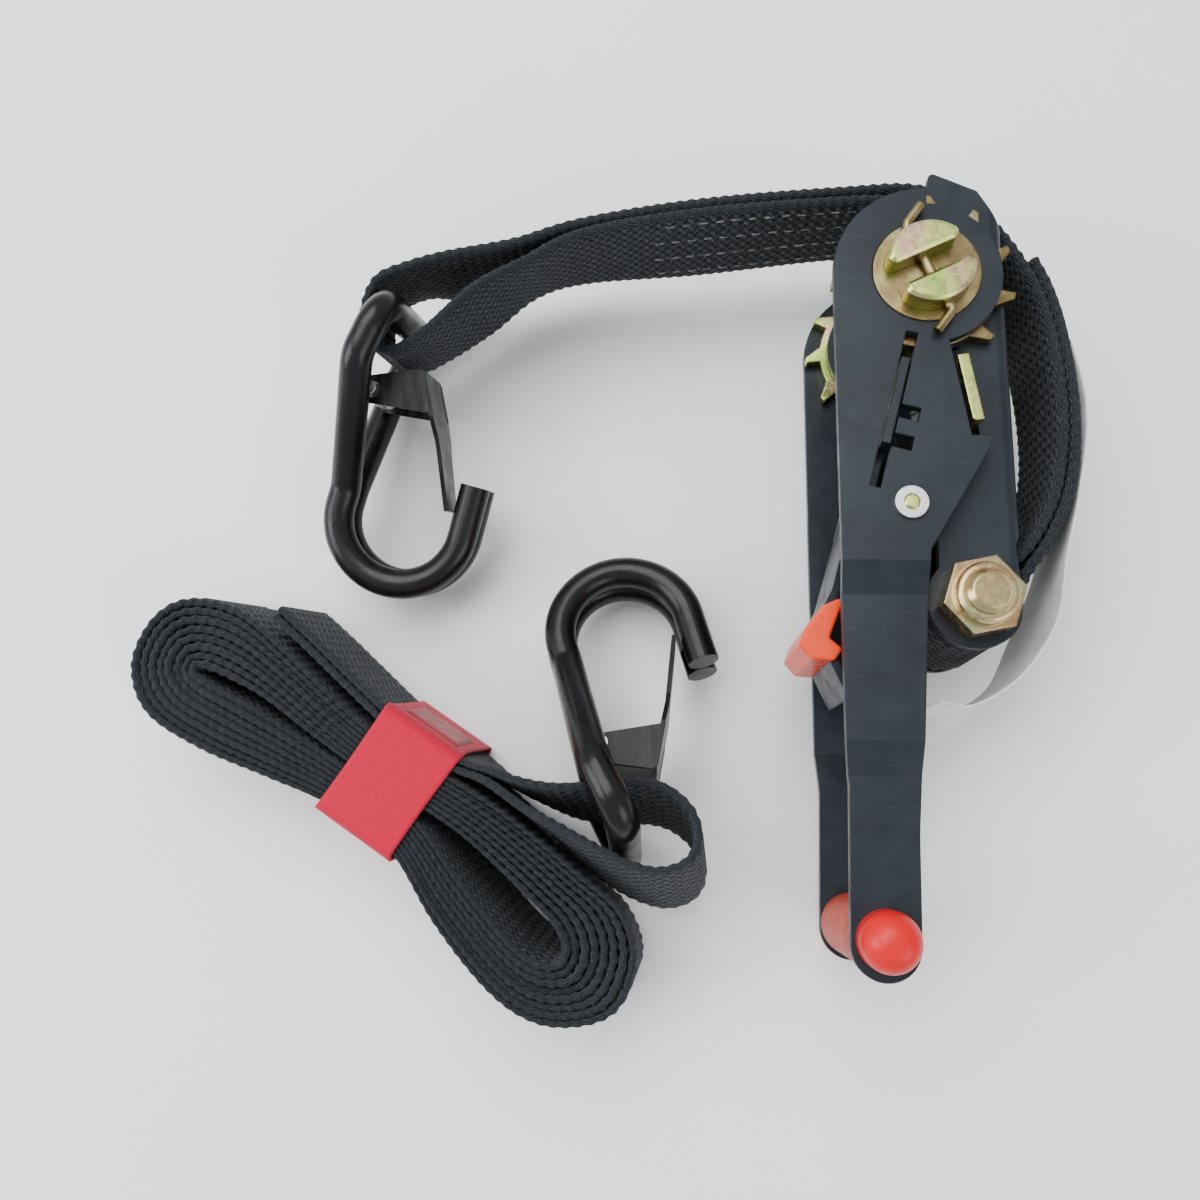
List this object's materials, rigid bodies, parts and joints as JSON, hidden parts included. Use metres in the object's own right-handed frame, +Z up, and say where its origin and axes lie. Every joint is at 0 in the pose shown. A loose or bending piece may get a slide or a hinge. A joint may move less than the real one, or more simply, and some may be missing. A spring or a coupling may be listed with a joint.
{
  "type": "ratchet tie-down set",
  "caption": "Ratchet tie-down for narrow webbing: geared buckle with a folding handle, short anchor strap and wire hook, and a long strap coiled in a band with its own hook.",
  "frame": {"origin": "middle of the footprint, on the floor that the set lies on", "axes": "+Z up from the floor; +X from the coiled long strap towards the buckle; +Y from the coil towards the short strap. The spool, handle and bolt axes are all along Z."},
  "size_m": [0.1861, 0.1639, 0.052],
  "materials": {
    "side_plate": "dark blue-grey satin coating",
    "yellow_zinc": "yellow zinc plating, satin",
    "bright_zinc": "bright zinc plating",
    "hook_coat": "glossy black coating",
    "keeper_steel": "worn plated sheet",
    "red_grip": "soft red vinyl, satin",
    "orange_tab": "orange-red moulding",
    "webbing": "dark woven polyester",
    "red_band": "red woven elastic",
    "white_label": "white printed-tape stock, blank"
  },
  "bodies": {
    "base": {"base_frame": "side_plate", "bolt_sleeve": "bright_zinc", "anchor_bolt": "yellow_zinc", "anchor_nut": "yellow_zinc", "lock_pawl_spring": "bright_zinc"},
    "lock_pawl": {"lock_pawl": "yellow_zinc"},
    "spool": {"spool_bar_outer": "yellow_zinc", "spool_bar_inner": "yellow_zinc", "gear_upper": "yellow_zinc", "gear_lower": "yellow_zinc", "cotter_pin_upper": "bright_zinc", "cotter_pin_lower": "bright_zinc"},
    "handle": {"handle_arm_upper": "side_plate", "handle_arm_lower": "side_plate", "grip_rod": "bright_zinc", "grip_sleeve": "red_grip", "grip_cap_upper": "red_grip", "grip_cap_lower": "red_grip", "cross_pin": "bright_zinc", "push_washers": "bright_zinc", "drive_pawl_spring": "bright_zinc"},
    "drive_pawl": {"drive_pawl": "yellow_zinc", "release_tab": "orange_tab"},
    "short_strap": {"short_strap": "webbing", "strap_label": "white_label"},
    "hook_a": {"hook_a": "hook_coat", "keeper_pin_a": "bright_zinc", "keeper_spring_a": "bright_zinc"},
    "keeper_a": {"keeper_a": "keeper_steel"},
    "long_strap": {"long_strap_coil": "webbing", "long_strap_eye": "webbing", "band": "red_band"},
    "hook_b": {"hook_b": "hook_coat", "keeper_pin_b": "bright_zinc", "keeper_spring_b": "bright_zinc"},
    "keeper_b": {"keeper_b": "keeper_steel"}
  },
  "joints": [
    {"name": "handle_hinge", "type": "hinge", "parent": "base", "child": "handle", "pos_m": [0.0631, 0.0567, 0.026], "axis": [0, 0, -1], "range_deg": [0, 150]},
    {"name": "spool_turn", "type": "hinge", "parent": "base", "child": "spool", "pos_m": [0.0631, 0.0567, 0.026], "axis": [0, 0, 1], "continuous": true},
    {"name": "lock_pawl_slide", "type": "slide", "parent": "base", "child": "lock_pawl", "axis": [0.1685, -0.9857, 0], "range_m": [-0.0029, 0.0012], "stiffness_N_per_m": 300, "springref_m": -0.0029},
    {"name": "drive_pawl_slide", "type": "slide", "parent": "handle", "child": "drive_pawl", "axis": [-0.2521, -0.9677, 0], "range_m": [-0.0029, 0.0026], "stiffness_N_per_m": 300, "springref_m": -0.0029},
    {"name": "short_strap_swing", "type": "hinge", "parent": "base", "child": "short_strap", "pos_m": [0.0704, -0.0056, 0.026], "axis": [0, 0, -1], "range_deg": [0, 150]},
    {"name": "hook_a_swivel", "type": "hinge", "parent": "short_strap", "child": "hook_a", "pos_m": [-0.0419, 0.059, 0.02325], "axis": [0, 0.2419, -0.9703], "range_deg": [-20, 20]},
    {"name": "keeper_a_hinge", "type": "hinge", "parent": "hook_a", "child": "keeper_a", "pos_m": [-0.0463, 0.04347, 0.01938], "axis": [0, 0.2419, -0.9703], "range_deg": [0, 25], "stiffness_Nm_per_rad": 0.01},
    {"name": "long_strap_slide", "type": "slide", "parent": "base", "child": "long_strap", "axis": [-1, 0, 0], "range_m": [0, 0.27]},
    {"name": "hook_b_swivel", "type": "hinge", "parent": "long_strap", "child": "hook_b", "pos_m": [0.0068, -0.0495, 0.02325], "axis": [-0.0042, 0.2419, 0.9703], "range_deg": [-20, 5]},
    {"name": "keeper_b_hinge", "type": "hinge", "parent": "hook_b", "child": "keeper_b", "pos_m": [0.00213, -0.03405, 0.01938], "axis": [-0.0042, 0.2419, 0.9703], "range_deg": [0, 25], "stiffness_Nm_per_rad": 0.01}
  ],
  "couplings": [
    {"joint": "short_strap_swing", "follows": "handle_hinge", "ratio": 1},
    {"joint": "long_strap_slide", "follows": "handle_hinge", "m_per_rad": 0.1}
  ]
}
